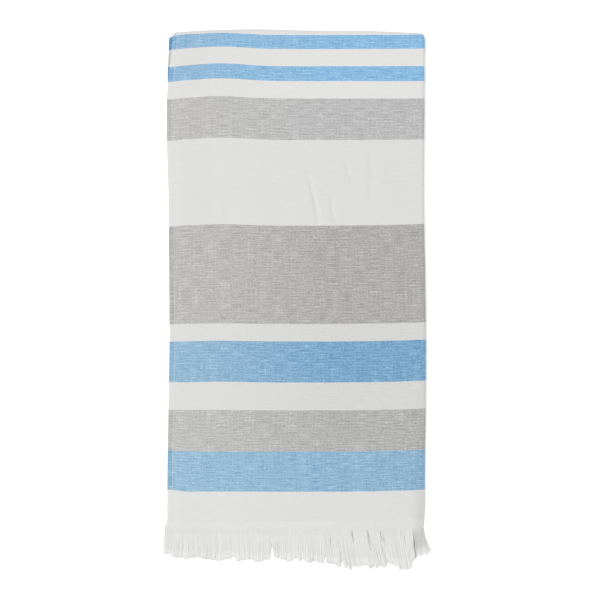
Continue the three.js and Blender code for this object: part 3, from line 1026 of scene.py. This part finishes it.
def cloth_material():
    shader = Shader("striped_cotton")
    cloth = shader.attribute("cloth")
    across, along = shader.axis(cloth, "X"), shader.axis(cloth, "Y")
    ribs = shader.math("SINE", shader.math("MULTIPLY", along, 2 * math.pi / (RIB * MM)))
    mottle = shader.math("MULTIPLY_ADD", ribs, RIB_DYE, mottling(shader, cloth))
    colour = dyed_and_shaded(shader, stripe_colour(shader, cloth, across, along), cloth, across, mottle)

    threads = [
        shader.math("SINE", shader.math("MULTIPLY", axis, math.pi / (THREAD * MM)))
        for axis in (across, along)
    ]
    weave = shader.math("MULTIPLY", *threads)
    height = shader.math("MULTIPLY", mottle, RELIEF["mottle"])
    height = shader.math("MULTIPLY_ADD", weave, RELIEF["weave"], height)
    height = shader.math("MULTIPLY_ADD", ribs, RELIEF["ribs"], height)
    normal = shader.bump(height, RELIEF["height"] * MM)
    return shader.finish({"Base Color": colour, "Normal": normal, **COTTON})


YARN_COLOURS = ((219, 219, 218), (231, 231, 230))  # least and most pale
YARN_TONE = {"own": 0.6, "fibres": 0.4}  # what a yarn's place between them comes from
FIBRES = {"cells": (60, 1500, 1), "detail": 2.0, "roughness": 0.6}
TWIST = 2.2  # length of one turn of a two-ply yarn
TWIST_PHASE = 40.0  # radians by which the yarns' twists differ
YARN_RELIEF = {"fibres": 0.6, "height": 0.09}
YARN_SHEEN = 0.35


def yarn_material():
    shader = Shader("loose_cotton_yarn")
    yarn, turned = shader.attribute("yarn"), shader.attribute("turned")
    tone, along, pale = (shader.axis(yarn, name) for name in "XYZ")
    fibres = shader.noise(yarn, **FIBRES)
    own = shader.math("MULTIPLY", tone, YARN_TONE["own"])
    factor = shader.math("MULTIPLY_ADD", fibres, YARN_TONE["fibres"], own)
    # the yarns' colour is dimmed by the painted shade and light that they carry
    colour = shader.dimmed(shader.mix(factor, *map(linear, YARN_COLOURS)), pale)
    around = shader.math("ARCTAN2", shader.axis(turned, "Y"), shader.axis(turned, "X"))
    phase = shader.math("MULTIPLY_ADD", tone, TWIST_PHASE, around)
    phase = shader.math("MULTIPLY_ADD", along, 2 * math.pi / (TWIST * MM), phase)
    height = shader.math("MULTIPLY_ADD", fibres, YARN_RELIEF["fibres"], shader.math("SINE", phase))
    normal = shader.bump(height, YARN_RELIEF["height"] * MM)
    settings = {"Base Color": colour, "Normal": normal, **COTTON, "Sheen Weight": YARN_SHEEN}
    return shader.finish(settings)


FLOOR_SIZE = 60.0  # in metres
# The floor glows a little, as a lit table does, which keeps the shadows on it faint
FLOOR = {
    "Base Color": (0.95, 0.95, 0.95, 1),
    "Roughness": 0.9,
    "Specular IOR Level": 0.1,
    "Emission Color": (1, 1, 1, 1),
    "Emission Strength": 0.25,
}


def floor():
    bpy.ops.mesh.primitive_plane_add(size=FLOOR_SIZE, location=(0, 0, 0))
    plane = bpy.context.object
    plane.name = "studio_floor"
    plane.data.materials.append(Shader("pale_floor").finish(FLOOR))


# Soft lights that face the towel, in metres and watts
LIGHTS = {
    "key_light": {"location": (-4.8, -1.0, 9.6), "size": 6.0, "power": 841},
    "fill_light": {"location": (3.0, 3.5, 9.8), "size": 6.0, "power": 157},
}
WORLD_LIGHT = 0.45


def area_light(name, location, size, power):
    data = bpy.data.lights.new(name, "AREA")
    data.size = size
    data.energy = power
    made = bpy.data.objects.new(name, data)
    made.location = location
    made.rotation_euler = (-Vector(location)).to_track_quat("-Z", "Y").to_euler()
    bpy.context.scene.collection.objects.link(made)


def lights():
    for name, settings in LIGHTS.items():
        area_light(name, **settings)
    world = bpy.data.worlds.new("studio")
    world.use_nodes = True
    background = world.node_tree.nodes["Background"]
    background.inputs["Color"].default_value = (1, 1, 1, 1)
    background.inputs["Strength"].default_value = WORLD_LIGHT
    bpy.context.scene.world = world


# The photograph looks straight down at the towel
PHOTO = {"width": 600, "mm_per_pixel": 1.758, "middle_x": 296.5, "fold_y": 30.0}
CAMERA_HEIGHT = 6000.0
SENSOR = 36.0  # width of the camera's sensor
CLIP = (0.1, 100.0)  # in metres


def camera():
    half = PHOTO["width"] / 2
    x = X_SHIFT + (half - PHOTO["middle_x"]) * PHOTO["mm_per_pixel"]
    y = HEM_Y + FOLDED_LENGTH - (half - PHOTO["fold_y"]) * PHOTO["mm_per_pixel"]
    top = 2 * LOFT + CLOTH
    data = bpy.data.cameras.new("photo_camera")
    data.sensor_width = SENSOR
    data.lens = SENSOR * (CAMERA_HEIGHT - top) / (PHOTO["width"] * PHOTO["mm_per_pixel"])
    data.clip_start, data.clip_end = CLIP
    made = bpy.data.objects.new("photo_camera", data)
    made.location = (x * MM, y * MM, CAMERA_HEIGHT * MM)
    bpy.context.scene.collection.objects.link(made)
    bpy.context.scene.camera = made


def dress(piece, material, slot_name, *nodes):
    piece.data.materials.append(material)
    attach(piece, "root")
    if nodes:
        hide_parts(*nodes)
    return piece


def main():
    bpy.context.scene.view_settings.view_transform = "Standard"
    camera()
    lights()
    floor()
    cotton, yarn = cloth_material(), yarn_material()
    nodes = ("outer_cloth", "inner_layers", "side_hem_outer", "side_hem_inner")
    sheet = dress(towel_sheet(), cotton, "striped_cloth", *nodes)
    near = dress(fringe("fringe_near", "layer_1", "layer_2"), yarn, "fringe", "fringe_near_end")
    far = dress(fringe("fringe_far", "layer_4", "layer_3"), yarn, "fringe", "fringe_far_end")
    seams = dress(sewing("stitches"), yarn, "hem")


main()
